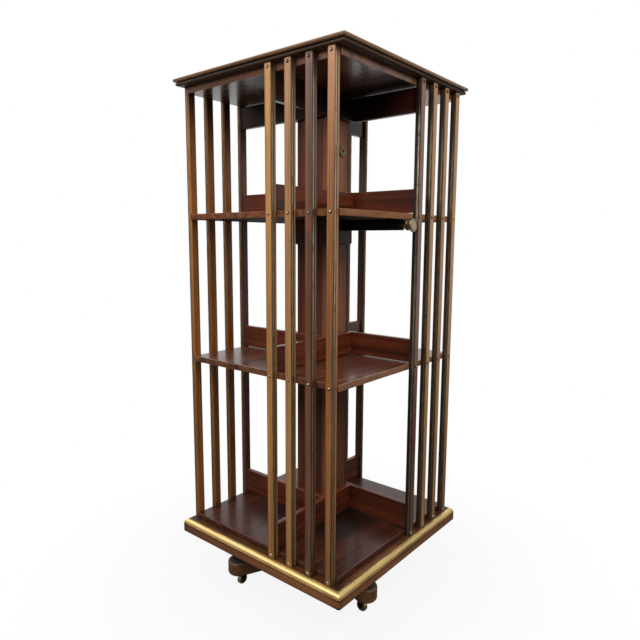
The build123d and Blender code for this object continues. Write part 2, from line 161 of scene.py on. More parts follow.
class Piece:
    """The mesh of a piece while it is made. Each point also has its place in the board that it belongs to,
    with X along the grain, and its wear with painted light: 1 is rubbed bare, under 0 is darker from dirt
    and, in places, painted shade, and on the screw heads it also holds a painted highlight. The finishes
    read both."""

    def __init__(self):
        self.points = []
        self.faces = []
        self.grain = []
        self.wear_and_painted_light = []

    def add(self, shape, place=Matrix(), along=0, shift=(0.0, 0.0, 0.0)):
        """Adds points, faces and wear. Along is the axis, before placing, that the grain follows."""
        points, faces, wear_and_painted_light = shape
        start = len(self.points)
        for point in points:
            turned_round = [point[(along + step) % 3] for step in range(3)]
            self.grain.append([turned_round[step] + shift[step] for step in range(3)])
            self.points.append(place @ Vector(point))
        self.faces += [[start + corner for corner in face] for face in faces]
        self.wear_and_painted_light += wear_and_painted_light

    def make(self, name, finish, body, slot, *nodes):
        """Turns it into an object that rides on a body and stands for those nodes."""
        mesh = bpy.data.meshes.new(name)
        mesh.from_pydata(self.points, [], self.faces)
        grain = mesh.attributes.new("grain", "FLOAT_VECTOR", "POINT")
        grain.data.foreach_set("vector", [part for spot in self.grain for part in spot])
        wear_and_painted_light = mesh.attributes.new("wear_and_painted_light", "FLOAT", "POINT")
        wear_and_painted_light.data.foreach_set("value", self.wear_and_painted_light)
        outward = bmesh.new()
        outward.from_mesh(mesh)
        bmesh.ops.recalc_face_normals(outward, faces=outward.faces)
        outward.to_mesh(mesh)
        outward.free()
        mesh.shade_smooth()
        mesh.set_sharp_from_angle(angle=math.radians(38))
        mesh.materials.append(finish)
        made = bpy.data.objects.new(name, mesh)
        bpy.context.scene.collection.objects.link(made)
        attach(made, body)
        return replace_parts(made, *nodes)


def arc(centre, radius, start, end, steps, worn):
    """Points on an arc in a plane, between two angles in degrees, each with the same wear."""
    points = []
    for step in range(steps + 1):
        angle = math.radians(start + (end - start) * step / steps)
        points.append((centre[0] + radius * math.cos(angle), centre[1] + radius * math.sin(angle), worn))
    return points


def turned(outline, sides=64):
    """A piece turned about Z. The outline is a closed loop of (radius, height, wear) clear of the axis,
    or one that starts and ends on it."""
    points = []
    wear_and_painted_light = []
    rows = []
    for radius, height, worn in outline:
        count = sides if radius > hair else 1
        rows.append([len(points) + side for side in range(count)])
        for side in range(count):
            angle = math.tau * side / sides
            points.append((radius * math.cos(angle), radius * math.sin(angle), height))
            wear_and_painted_light.append(worn)
    faces = []
    open_ended = len(rows[0]) == 1
    for row, following in zip(rows, rows[1:] if open_ended else rows[1:] + rows[:1]):
        for side in range(sides):
            corners = [row[side % len(row)], row[(side + 1) % len(row)]]
            corners += [following[(side + 1) % len(following)], following[side % len(following)]]
            faces.append(list(dict.fromkeys(corners)))
    return points, faces, wear_and_painted_light


# A hair's breadth, to stay inside a node's box and to tell which face of a board a point lies on.
hair = 0.00001

joints = {joint["name"]: joint for joint in frame["joints"]}
castor_bronze = metal_finish(
    "castor_bronze", bright=(214, 196, 146), tarnish=(76, 66, 46), dullness=0.27, cover=0.45, patch=0.012
)
fork_bronze = metal_finish(
    "fork_bronze", bright=(92, 84, 62), tarnish=(30, 27, 20), dullness=0.4, cover=0.8, patch=0.012
)
screw_iron = metal_finish(
    "screw_iron", bright=(120, 112, 100), tarnish=(48, 38, 30), dullness=0.4, cover=0.6, patch=0.01
)
tread_radius = joints["wheel_roll_1"]["pos_m"][2] - hair
tread_half = 0.0055
tread_round = 0.0034
ring_inner = 0.005
ring_outer = 0.009
ring_floor = tread_half - 0.001
pin_bore = 0.00255
rim_centre = (tread_radius - tread_round, tread_half - tread_round)
upper_half = [(pin_bore, tread_half, 0.3), (ring_inner, tread_half, 0.6)]
upper_half += [(ring_inner, ring_floor, 0.0), (ring_outer, ring_floor, 0.0), (ring_outer, tread_half, 0.7)]
upper_half += arc(rim_centre, tread_round, 90, 0, steps=6, worn=1.0)
lower_half = [(radius, -height, worn) for radius, height, worn in reversed(upper_half)]
for number in (1, 2, 3, 4):
    axle = joints[f"wheel_roll_{number}"]
    across = Vector((0, 0, 1)).rotation_difference(Vector(axle["axis"])).to_matrix().to_4x4()
    wheel = Piece()
    wheel.add(turned(upper_half + lower_half), Matrix.Translation(axle["pos_m"]) @ across)
    body = f"wheel_{number}"
    wheel.make(f"{body}_tread", castor_bronze, body, "castor_bronze", f"castor_{body}")
    dress(fork_bronze, f"castor_fork_{number}")
dress(fork_bronze, "castor_plates")
dress(screw_iron, "castor_screws")


# Cross
# Two stained bearers are halved together under the case, their round ends the feet, and a flat round pad is
# glued on each foot. The wood is old and dark, and dust lies on what faces up.

def wood_finish(name, pale, dark, worn, streak, polish, turn=None, dust=None):
    """Polished straight-grained wood. Streak is the spacing of its bands in metres. Wear over 0 rubs it to
    the worn colour, and under 0 darkens it with dirt and, in places, painted shade. Turn is the angle of the
    grain about
    Z for a piece that has no grain of its own, and dust the colour of what lies on its upper faces."""
    material, pen, shader = new_finish(name, polish)
    if turn is None:
        place = pen.mark("grain", "Vector")
    else:
        whole = pen.node("ShaderNodeTexCoord", out="Object")
        turning = {"Vector": whole, "Angle": -turn}
        place = pen.node("ShaderNodeVectorRotate", {"rotation_type": "Z_AXIS"}, turning)
    bands = place.cloud((1.3, 1 / streak, 1 / streak), 4.0, 0.5)
    fibres = place.cloud((11.0, 650.0, 650.0), 2.0)
    figure = place.cloud((4.0, 16.0, 16.0), 3.0, 0.8)
    pores = place.cloud((48.0, 1300.0, 1300.0), 1.0).between(0.6, 0.74)
    scuffs = place.cloud((24.0, 90.0, 90.0), 4.0)
    tone = (bands * 0.62 + fibres * 0.2 + figure * 0.3 - 0.06).between(0.28, 0.72)
    wear_and_painted_light = pen.mark("wear_and_painted_light", "Fac")
    rubbed = (wear_and_painted_light * 0.75 + scuffs * 0.5).between(0.55, 0.95)
    # Under 0 the wear darkens the wood: dirt, and in places painted shade.
    grime_and_shade = (scuffs * 0.5 - wear_and_painted_light * 0.8).between(0.3, 1.0)
    stain = paint(*dark)
    grey = sum(stain[:3]) / 3
    deep_colour = (*[part * 0.12 + grey * 0.08 for part in stain[:3]], 1.0)
    colour = (pores * 0.45).mix(tone.mix(stain, paint(*pale)), deep_colour)
    colour = (rubbed * 0.8).mix((grime_and_shade * 0.92).mix(colour, deep_colour), paint(*worn))
    if dust:
        facing = pen.node("ShaderNodeNewGeometry", out="Normal")
        level = pen.node("ShaderNodeSeparateXYZ", {}, {"Vector": facing}, "Z")
        colour = (level.between(0.25, 0.8) * (0.35 + scuffs * 0.6)).mix(colour, paint(*dust))
    colour.feed(shader, "Base Color")
    dull = polish["Roughness"] + (fibres - 0.5) * 0.16 + pores * 0.12
    (dull + rubbed * 0.12 + grime_and_shade * 0.2).feed(shader, "Roughness")
    kept = (1 - rubbed * 0.7) * (1 - grime_and_shade) * (0.8 + scuffs * 0.4)
    (polish["Coat Weight"] * kept).feed(shader, "Coat Weight")
    (fibres * 0.35 - pores * 0.5 + scuffs * 0.2).relief(strength=0.16, depth=0.0004).feed(shader, "Normal")
    return material


foot_polish = {"Roughness": 0.45, "Coat Weight": 0.1, "Coat Roughness": 0.3}
for number, bearer in ((1, "bearer_lower"), (2, "bearer_upper")):
    foot_place = joints[f"castor_swivel_{number}"]["pos_m"]
    bearing = math.atan2(foot_place[1], foot_place[0])
    bearer_wood = wood_finish(
        f"{bearer}_wood", pale=(142, 94, 54), dark=(80, 50, 29), worn=(150, 104, 66),
        streak=0.012, polish=foot_polish, turn=bearing, dust=(112, 106, 88),
    )
    dress(bearer_wood, bearer)
pad_wood = wood_finish(
    "pad_wood", pale=(60, 54, 42), dark=(26, 22, 16), worn=(104, 90, 66),
    streak=0.01, polish=foot_polish, turn=0.0, dust=(58, 54, 44),
)
dress(pad_wood, "foot_pads")


# Pivot
# The hidden bearing. A wooden hub and an iron flange hold the iron spindle on the cross. Under the case a
# plate turns on a brass washer there, and a brass bush in a wooden block turns on the spindle's top.

hub_wood = wood_finish(
    "hub_wood", pale=(66, 42, 27), dark=(28, 17, 11), worn=(90, 62, 42),
    streak=0.012, polish=foot_polish, turn=0.4,
)
dress(hub_wood, "pivot_hub", "top_block")
bearing_iron = metal_finish(
    "bearing_iron", bright=(92, 90, 88), tarnish=(44, 38, 33), dullness=0.42, cover=0.55, patch=0.02
)
dress(bearing_iron, "spindle", "spindle_flange", "thrust_plate")
dress(screw_iron, "flange_screws", "board_screws")
bearing_brass = metal_finish(
    "bearing_brass", bright=(196, 160, 86), tarnish=(96, 74, 40), dullness=0.3, cover=0.35, patch=0.02
)
dress(bearing_brass, "thrust_washer", "top_bush")


# Base board
# A thick board under the case. Its edge is lipped with four mitred lengths, rounded below, and rebated
# above for the brass moulding. It is darker along the lower edge and at the corners.

def skin(size, count):
    """The faces of a bar that is given as a row of loops: so many points to a loop, and so many loops."""
    last = (count - 1) * size
    faces = [list(range(size)), [last + spot for spot in reversed(range(size))]]
    for near in range(0, last, size):
        far = near + size
        for spot in range(size):
            following = (spot + 1) % size
            faces.append([near + spot, near + following, far + following, far + spot])
    return faces


def mitred(profile, step, corner=0.0, end_darkening=0.0):
    """One length along the left face with a mitre at each end. The profile is a closed loop of
    (distance from the axis, level, wear), and the length is divided into steps. A corner is the radius of
    the upright rounding at the outermost line, and end darkening what is taken from the wear at the mitres."""
    reach = max(distance for distance, level, worn in profile)
    flat = reach - corner
    count = max(2, round(2 * reach / step))
    stations = [(2 * place / count - 1, 0.0) for place in range(count + 1)]
    if corner:
        bend_steps = 5
        bends = [place / bend_steps for place in range(1, bend_steps + 1)]
        stations = [(-1, -bend) for bend in reversed(bends)] + stations + [(1, bend) for bend in bends]
    points = []
    wear_and_painted_light = []
    for share, bend in stations:
        for distance, level, worn in profile:
            along = share * (distance - corner) + bend * corner
            out = distance
            swell = distance - flat
            if corner and swell > 0 and abs(along) > flat:
                swing = math.pi / 4 * (abs(along) - flat) / swell
                along = math.copysign(flat + swell * math.sin(swing), along)
                out = flat + swell * math.cos(swing)
            points.append((along, -out, level))
            wear_and_painted_light.append(worn - end_darkening if abs(share) == 1 else worn)
    return points, skin(len(profile), len(stations)), wear_and_painted_light


def spread(low, high, rounding, fade, step):
    """Places along one side of a block: four round each edge, one where the wear fades, the rest even."""
    edge = [rounding * (1 - math.tan(math.radians(angle))) for angle in (45, 30, 15, 0)]
    if high - low > 2.5 * (rounding + fade):
        edge.append(rounding + fade)
    room = high - low - 2 * edge[-1]
    count = max(1, round(room / step))
    middle = [low + edge[-1] + room * place / count for place in range(1, count)]
    return [low + inset for inset in edge] + middle + [high - inset for inset in reversed(edge)]


def block(low, high, rounding, step, fade=0.004, hole=None):
    """A board between two corners with rounded edges. The wear is 1 on the edges and fades out beside them.
    A hole is the half width of a square one through it, about the axis."""
    axes = [spread(low[axis], high[axis], rounding, fade, step) for axis in range(3)]
    if hole:
        clearance = 0.25 * step
        for axis in (0, 1):
            away = [place for place in axes[axis] if abs(abs(place) - hole) > clearance]
            axes[axis] = sorted(away + [-hole, hole])
    beside_wear = 0.45
    points = []
    wear_and_painted_light = []
    found = {}

    def corner(*key):
        """The number of the point at these places along the three sides."""
        if key not in found:
            raw = Vector([axes[axis][key[axis]] for axis in range(3)])
            core = [min(max(raw[axis], low[axis] + rounding), high[axis] - rounding) for axis in range(3)]
            out = raw - Vector(core)
            sizes = sorted(abs(part) for part in out)
            gaps = sorted(min(raw[axis] - low[axis], high[axis] - raw[axis]) for axis in range(3))
            beside = beside_wear
            if gaps[1] >= rounding:
                beside *= max(0.0, 1 - (gaps[1] - rounding) / fade)
            found[key] = len(points)
            points.append(tuple(Vector(core) + out.normalized() * rounding))
            wear_and_painted_light.append(max(beside, sizes[1] / sizes[2]))
        return found[key]

    def over_hole(*key):
        """Whether the square of the upper or lower face that starts at this corner lies over the hole."""
        middle = [(axes[axis][spot] + axes[axis][spot + 1]) / 2 for axis, spot in enumerate(key)]
        return max(abs(part) for part in middle) < hole

    faces = []
    for axis in range(3):
        first, second = [other for other in range(3) if other != axis]
        for end in (0, len(axes[axis]) - 1):
            for one in range(len(axes[first]) - 1):
                for two in range(len(axes[second]) - 1):
                    if hole and axis == 2 and over_hole(one, two):
                        continue
                    face = []
                    for step_one, step_two in ((0, 0), (1, 0), (1, 1), (0, 1)):
                        key = [end] * 3
                        key[first] = one + step_one
                        key[second] = two + step_two
                        face.append(corner(*key))
                    faces.append(face)
    if hole:
        spots = [[axes[axis].index(-hole), axes[axis].index(hole)] for axis in (0, 1)]
        top = len(axes[2]) - 1
        for axis in (0, 1):
            for side in spots[axis]:
                for place in range(*spots[1 - axis]):
                    near = (side, place) if axis == 0 else (place, side)
                    far = (side, place + 1) if axis == 0 else (place + 1, side)
                    faces.append([corner(*near, 0), corner(*far, 0), corner(*far, top), corner(*near, top)])
    return points, faces, wear_and_painted_light


chance = random.Random(11)


def anywhere():
    """A place in a log far from the other boards, so that no two boards have the same grain."""
    return [chance.uniform(-40, 40) for axis in range(3)]


def quarter(turn):
    """A quarter turn about the axis, so many times."""
    return Matrix.Rotation(turn * math.pi / 2, 4, "Z")


def add_round(piece, shape):
    """Adds a shape on each of the four faces, with the grain of another board each time."""
    for turn in range(4):
        piece.add(shape, quarter(turn), shift=anywhere())


case_polish = {"Roughness": 0.3, "Coat Weight": 0.12, "Coat Roughness": 0.12, "Specular IOR Level": 0.3}
base_wood = wood_finish(
    "base_wood", pale=(182, 116, 68), dark=(84, 46, 25), worn=(170, 120, 82),
    streak=0.009, polish=case_polish,
)
base_low, base_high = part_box("base_board")
brass_low, brass_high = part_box("brass_mouldings")
base_half = base_high.x - hair
base_round = 0.0025
base_corner = 0.006
base_end_darkening = 0.35
lower_edge_darkening = -0.6
lower_clean = base_low.z + 0.006
upper_clean = brass_low.z - 0.005
rebate = base_half - 0.012
rebate_wear = -0.5
base_inner = base_half - 0.08
base_profile = [(base_inner, base_low.z, 0.0)]
lower_edge = (base_half - base_round, base_low.z + base_round)
base_profile += arc(lower_edge, base_round, 270, 360, steps=5, worn=lower_edge_darkening)
base_profile += [(base_half, lower_clean, 0.0), (base_half, upper_clean, 0.0)]
base_profile += [(base_half, brass_low.z, rebate_wear), (rebate, brass_low.z, rebate_wear)]
base_profile += [(rebate, base_high.z, -0.6), (base_inner, base_high.z, -0.4)]
base = Piece()
add_round(base, mitred(base_profile, step=0.03, corner=base_corner, end_darkening=base_end_darkening))
base_panel_low = (-base_inner, -base_inner, base_low.z)
base_panel_high = (base_inner, base_inner, base_high.z)
base.add(block(base_panel_low, base_panel_high, rounding=0.0006, step=0.06), shift=anywhere())
base.make("base_edge", base_wood, "case", "case_wood", "base_board")


# Brass moulding
# Four drawn lengths of brass, mitred at the corners and pinned into the rebate of the base. The section is
# a quarter round between two narrow fillets. It is polished by hand, and dirt stays beside the fillets.

def brass_finish(name, bright, shade, darkening):
    """Hand-polished brass: fine lengthwise scratches, tarnish in streaks, dirt where it is not rubbed."""
    material, pen, shader = new_finish(name, {"Metallic": 1.0})
    place = pen.mark("grain", "Vector")
    rubbed = pen.mark("wear_and_painted_light", "Fac")
    streaks = place.cloud((7.0, 420.0, 420.0), 4.0, 0.3)
    patches = place.cloud((16.0, 40.0, 40.0), 4.0, 0.5)
    scratches = place.cloud((30.0, 1500.0, 1500.0), 2.0)
    tarnish = (streaks * 0.5 + patches * 0.45 + scratches * 0.2 - rubbed * 0.15).between(0.36, 0.66)
    grime = ((1 - rubbed) * 0.8 + patches * 0.35).between(0.6, 0.95)
    metal = (tarnish * 0.8).mix(paint(*bright), paint(*shade))
    grime.mix(metal, paint(*darkening)).feed(shader, "Base Color")
    (0.48 + tarnish * 0.08 + grime * 0.2 + (scratches - 0.5) * 0.06).feed(shader, "Roughness")
    (1 - grime * 0.7).feed(shader, "Metallic")
    streaks.relief(strength=0.06, depth=0.0003).feed(shader, "Normal")
    return material


moulding_brass = brass_finish(
    "moulding_brass", bright=(242, 212, 146), shade=(208, 176, 112), darkening=(58, 42, 24)
)
lower_fillet = 0.0016
upper_fillet = 0.0014
fillet_wear = 0.55
quirk_wear = 0.05
bow_low = brass_low.z + lower_fillet
bow_high = brass_high.z - upper_fillet - bow_low
bow_wide = base_half - rebate - upper_fillet - lower_fillet
bow_steps = 12
brass_profile = [(rebate, brass_low.z, 0.0), (base_half, brass_low.z, fillet_wear)]
brass_profile += [(base_half, bow_low, fillet_wear)]
for step in range(bow_steps + 1):
    swing = math.radians(90 * step / bow_steps)
    distance = base_half - lower_fillet - bow_wide * (1 - math.cos(swing))
    level = bow_low + bow_high * math.sin(swing)
    brass_profile.append((distance, level, quirk_wear if step in (0, bow_steps) else 1.0))
brass_profile += [(rebate + upper_fillet, brass_high.z, fillet_wear), (rebate, brass_high.z, 0.0)]
mouldings = Piece()
add_round(mouldings, mitred(brass_profile, step=0.012, corner=base_corner))
mouldings.make("base_mouldings", moulding_brass, "case", "brass", "brass_mouldings")


# Shelves
# Three boards with a square hole for the column and rubbed edges, which the lower and upper shelves have
# lighter still on the right face as a painted sheen. The two lower ones are still glossy above, the bottom
# one has painted shade in its inner corners, the upper one has gone dull, and all are matt below, with
# painted shade.

shelf_polish = {"Roughness": 0.3, "Coat Weight": 0.22, "Coat Roughness": 0.1, "Specular IOR Level": 0.3}
dull_polish = {"Roughness": 0.5, "Coat Weight": 0.0, "Coat Roughness": 0.3, "Specular IOR Level": 0.02}
shelf_woods = {
    "bottom_shelf": wood_finish(
        "bottom_wood", pale=(94, 47, 30), dark=(40, 18, 12), worn=(112, 66, 44),
        streak=0.014, polish=shelf_polish,
    ),
    "lower_shelf": wood_finish(
        "shelf_wood", pale=(118, 68, 44), dark=(56, 29, 18), worn=(158, 110, 80),
        streak=0.014, polish=shelf_polish,
    ),
    "upper_shelf": wood_finish(
        "upper_wood", pale=(128, 78, 51), dark=(66, 36, 23), worn=(158, 110, 80),
        streak=0.014, polish=dull_polish,
    ),
}
column_half = -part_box("column_left")[0].x
shelf_round = 0.0016
edge_wear = 0.56
right_edge_sheen = 0.8
below_shade = -0.75
corner_shade = 0.9
corner_out = (0.2, 0.1)
corner_across = (-0.19, -0.08)


def ramp(value, start, end):
    """0 at the start and before it, 1 at the end and past it, and even between them."""
    return min(1.0, max(0.0, (value - start) / (end - start)))


def in_bay(point):
    """A point's place in its own bay: how far out it is from the axis, and its place across the bay."""
    for turn in range(4):
        out, across, level = quarter(turn) @ Vector(point)
        if out > column_half - hair and across < column_half:
            return out, across
    return 0.0, 0.0


for name, wood in shelf_woods.items():
    low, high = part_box(name)
    points, faces, wear_and_painted_light = block(low, high, shelf_round, step=0.04, fade=0.005, hole=column_half)
    rim = high.x - shelf_round
    for spot, point in enumerate(points):
        if point[0] > rim and name != "bottom_shelf":
            # A painted sheen on the right face's edges.
            wear_and_painted_light[spot] = max(wear_and_painted_light[spot], right_edge_sheen)
        elif max(abs(point[0]), abs(point[1])) > rim:
            wear_and_painted_light[spot] = max(wear_and_painted_light[spot], edge_wear)
        elif point[2] < low.z + hair:
            # Painted shade on the underside.
            wear_and_painted_light[spot] = below_shade
        elif name == "bottom_shelf":
            out, across = in_bay(point)
            # Painted shade in the inner corners of the bottom shelf.
            wear_and_painted_light[spot] -= corner_shade * ramp(out, *corner_out) * ramp(across, *corner_across)
    shelf = Piece()
    shelf.add((points, faces, wear_and_painted_light), along=1, shift=anywhere())
    shelf.make(name + "_board", wood, "case", "case_wood", name)


# Column
# Four boards, glued in a pinwheel to a hollow square post round the spindle, with the grain upright. Two of
# them have a paler copy of the wood as painted light. The polish has gone dull, and they have painted shade
# in the lowest tier.

column_polish = {"Roughness": 0.42, "Coat Weight": 0.04, "Coat Roughness": 0.2, "Specular IOR Level": 0.18}
column_wood = wood_finish(
    "column_wood", pale=(106, 58, 39), dark=(62, 31, 21), worn=(124, 80, 57),
    streak=0.013, polish=column_polish,
)
lit_wood = wood_finish(
    "lit_column_wood", pale=(154, 98, 68), dark=(100, 58, 39), worn=(160, 112, 82),
    streak=0.013, polish=column_polish,
)
column_woods = {"left": column_wood, "right": lit_wood, "back_right": column_wood, "back_left": lit_wood}
column_low_shade = 0.15
lit_low_shade = 0.5
tier_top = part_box("lower_shelf")[0].z
for face, wood in column_woods.items():
    low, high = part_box(f"column_{face}")
    points, faces, wear_and_painted_light = block(low, high, rounding=0.0008, step=0.08, fade=0.003)
    for spot, point in enumerate(points):
        # Painted shade in the lowest tier.
        if point[2] < tier_top:
            wear_and_painted_light[spot] -= lit_low_shade if wood == lit_wood else column_low_shade
    board = Piece()
    board.add((points, faces, wear_and_painted_light), along=2, shift=anywhere())
    board.make(f"column_{face}_board", wood, "case", "case_wood", f"column_{face}")


# Stops and rails
# In every tier four boards stand on edge against the column in a pinwheel, as backs for the four bays, and
# four rails of a darker copy of the wood, as painted shade, hang under the frieze. All edges are rubbed, and
# the rails have more painted shade except at their outer ends.

stop_wood = wood_finish(
    "stop_wood", pale=(122, 60, 35), dark=(62, 27, 15), worn=(138, 84, 58), streak=0.012, polish=case_polish
)
shaded_rail_wood = wood_finish(
    "shaded_rail_wood", pale=(92, 42, 26), dark=(44, 18, 11), worn=(110, 66, 46), streak=0.012, polish=case_polish
)
stop_thick = 0.012
rail_shade = 0.9
unshaded_end = 0.1
for name in ("stops_bottom", "stops_lower", "stops_upper", "top_rails"):
    low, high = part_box(name)
    start = (low.x, -column_half - stop_thick, low.z)
    end = (column_half, -column_half, high.z)
    points, faces, wear_and_painted_light = block(start, end, rounding=0.0009, step=0.04, fade=0.003)
    wood = stop_wood
    if name == "top_rails":
        wood = shaded_rail_wood
        for spot, point in enumerate(points):
            # Painted shade along the rail, fading out at its outer end.
            wear_and_painted_light[spot] -= rail_shade * ramp(point[0], low.x, low.x + unshaded_end)
    stop = Piece()
    add_round(stop, (points, faces, wear_and_painted_light))
    stop.make(name + "_boards", wood, "case", "case_wood", name)


# Cleats
# A thin collar of four lengths of the column's wood, mitred at the corners and chamfered below. It is glued
# round the column under the upper shelf.

cleat_low, cleat_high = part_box("shelf_cleats")
chamfer = 0.004
collar_half = cleat_high.x
cleat_profile = [(column_half, cleat_low.z, 0.0), (collar_half - chamfer, cleat_low.z, 0.6)]
cleat_profile += [(collar_half, cleat_low.z + chamfer, 0.8), (collar_half, cleat_low.z + 2 * chamfer, 0.0)]
cleat_profile += [(collar_half, cleat_high.z, 0.0), (column_half, cleat_high.z, 0.0)]
cleats = Piece()
add_round(cleats, mitred(cleat_profile, step=0.02))
cleats.make("column_collar", column_wood, "case", "case_wood", "shelf_cleats")


# Socket plate
# A small round plate of brass gone green on the column's right face, in the top tier. It is turned, with a
# rounded rim and a sunk seat round the hole in its middle.

dull_brass = metal_finish(
    "dull_brass", bright=(140, 128, 94), tarnish=(66, 64, 50), dullness=0.38, cover=0.75, patch=0.006
)
socket_low, socket_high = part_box("socket_plate")
socket_radius = (socket_high.y - socket_low.y) / 2
socket_thick = socket_high.x - socket_low.x
socket_round = 0.0012
seat_edge = 0.0085
seat_radius = 0.0078
seat_level = socket_thick - 0.0008
hole_radius = 0.004
hole_easing = 0.0008
socket_rim = (socket_radius - socket_round, socket_thick - socket_round)
socket_outline = [(hole_radius, 0.0, 0.0), (socket_radius, 0.0, 0.0)]
socket_outline += arc(socket_rim, socket_round, 0, 90, steps=5, worn=0.2)
socket_outline += [(seat_edge, socket_thick, 0.3), (seat_radius, seat_level, 0.0)]
socket_outline += [(hole_radius + hole_easing, seat_level, 0.2)]
socket_outline += [(hole_radius, seat_level - hole_easing, 0.0)]
to_right = Matrix.Rotation(math.pi / 2, 4, "Y")
socket_middle = (socket_low.x, (socket_low.y + socket_high.y) / 2, (socket_low.z + socket_high.z) / 2)
socket = Piece()
socket.add(turned(socket_outline), Matrix.Translation(socket_middle) @ to_right)
socket.make("socket_disc", dull_brass, "case", "dull_brass", "socket_plate")


# Pull-out arm
# A black japanned housing is screwed by its lugs under the upper shelf. An iron rod slides in it, with a
# turned brass knob at its end: a neck, a flared cone, a deep groove and a rimmed disc.

def japan_finish(name):
    """Black baked varnish, a little orange-peeled, dusty, and chipped to bare metal at its edges."""
    material, pen, shader = new_finish(name, {"Specular IOR Level": 0.22})
    place = pen.node("ShaderNodeTexCoord", out="Object")
    peel = place.cloud((260.0, 260.0, 260.0), 2.0)
    dust = place.cloud((40.0, 40.0, 90.0), 4.0)
    chipped = (pen.mark("wear_and_painted_light", "Fac") * 0.7 + dust * 0.5).between(0.84, 0.95)
    blacked = dust.between(0.55, 0.8).mix(paint(9, 9, 9), paint(22, 20, 18))
    chipped.mix(blacked, paint(74, 68, 60)).feed(shader, "Base Color")
    (0.46 + (peel - 0.5) * 0.2 + chipped * 0.15).feed(shader, "Roughness")
    peel.relief(strength=0.1, depth=0.0004).feed(shader, "Normal")
    return material


housing_low, housing_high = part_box("arm_housing")
knob_low, knob_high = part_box("arm_knob")
arm_y = (knob_low.y + knob_high.y) / 2
arm_z = (knob_low.z + knob_high.z) / 2
bar_half = 0.011
lug_half = 0.006
lug_thick = 0.004
lug_inset = 0.037
housing = Piece()
bar_low = (housing_low.x, arm_y - bar_half, housing_low.z)
bar_high = (housing_high.x, arm_y + bar_half, housing_high.z)
housing.add(block(bar_low, bar_high, rounding=0.0012, step=0.02, fade=0.002))
for lug_x in (housing_low.x + lug_inset, housing_high.x - lug_inset):
    for side_low, side_high in ((housing_low.y, arm_y - bar_half), (arm_y + bar_half, housing_high.y)):
        lug_low = (lug_x - lug_half, side_low, housing_high.z - lug_thick)
        lug_high = (lug_x + lug_half, side_high, housing_high.z)
        housing.add(block(lug_low, lug_high, rounding=0.0006, step=0.004, fade=0.001))
housing.make("arm_case", japan_finish("japan_black"), "case", "black_enamel", "arm_housing")
dress(bearing_iron, "arm_rod")

knob_brass = metal_finish(
    "knob_brass", bright=(158, 145, 118), tarnish=(88, 77, 58), dullness=0.36, cover=0.64, patch=0.006
)
knob_length = knob_high.x - knob_low.x
knob_radius = (knob_high.z - knob_low.z) / 2
neck_radius = 0.0067
neck_easing = 0.0005
neck_end = 0.0015
cone_radius = 0.0117
cone_end = 0.0155
cone_steps = 8
lip_round = 0.001
groove_radius = 0.0095
groove_start = cone_end + 2 * lip_round
groove_rubbed = cone_end + 0.005
disc_start = knob_length - 0.005
disc_round = 0.002
disc_flat = knob_radius - disc_round
back_dirty = disc_flat - 0.0004
hollow_radius = knob_radius - 0.0034
hollow_level = knob_length - 0.0007
face_radius = knob_radius - 0.0046
face_level = knob_length - 0.0005
boss_radius = 0.004
boss_level = knob_length - 0.0002
tip_level = knob_length - 0.0001
knob_outline = [(0.0, 0.0, 0.0), (neck_radius - neck_easing, 0.0, 0.2)]
knob_outline += [(neck_radius, neck_easing, 0.5), (neck_radius, neck_end, 0.3)]
for step in range(1, cone_steps + 1):
    share = step / cone_steps
    flare = neck_radius + (cone_radius - neck_radius) * share**1.3
    knob_outline.append((flare, neck_end + (cone_end - neck_end) * share, 0.3 + 0.4 * share))
knob_outline += arc((cone_radius - lip_round, cone_end + lip_round), lip_round, 0, 90, steps=4, worn=1.0)
knob_outline += [(groove_radius, groove_start, 0.0), (groove_radius, groove_rubbed, 0.3)]
knob_outline += [(groove_radius, disc_start, 0.0), (back_dirty, disc_start, 0.2)]
knob_outline += arc((disc_flat, disc_start + disc_round), disc_round, -90, 0, steps=5, worn=1.0)
knob_outline += arc((disc_flat, knob_length - disc_round), disc_round, 0, 105, steps=6, worn=1.0)
knob_outline += [(hollow_radius, hollow_level, 0.0), (face_radius, face_level, 0.3)]
knob_outline += [(boss_radius, boss_level, 0.6), (0.0, tip_level, 0.6)]
knob = Piece()
knob.add(turned(knob_outline), Matrix.Translation((knob_low.x, arm_y, arm_z)) @ to_right)
knob.make("knob_turning", knob_brass, "arm", "dull_brass", "arm_knob")


# Slats
# Sixteen upright bars, four to a face, are screwed to the edges of the boards. Their arrises are eased and
# dark with dirt and painted shade, and each side has a groove. They were cut from several boards, so their
# colours differ.

slat_polish = {"Roughness": 0.36, "Coat Weight": 0.12, "Coat Roughness": 0.2}
slat_tones = {
    "honey": {"pale": (210, 152, 84), "dark": (150, 98, 50), "worn": (216, 172, 116)},
    "amber": {"pale": (196, 144, 86), "dark": (138, 90, 50), "worn": (204, 160, 108)},
    "chestnut": {"pale": (194, 128, 64), "dark": (122, 72, 34), "worn": (198, 142, 84)},
    "russet": {"pale": (136, 86, 56), "dark": (84, 48, 32), "worn": (148, 104, 74)},
}
slat_woods = {}
for tone, colours in slat_tones.items():
    slat_woods[tone] = wood_finish(f"slat_{tone}", **colours, streak=0.006, polish=slat_polish)
slat_colours = {
    "left": ("honey", "amber", "russet", "chestnut"),
    "right": ("russet", "amber", "amber", "amber"),
    "back_right": ("russet", "chestnut", "russet", "chestnut"),
    "back_left": ("russet", "chestnut", "chestnut", "chestnut"),
}
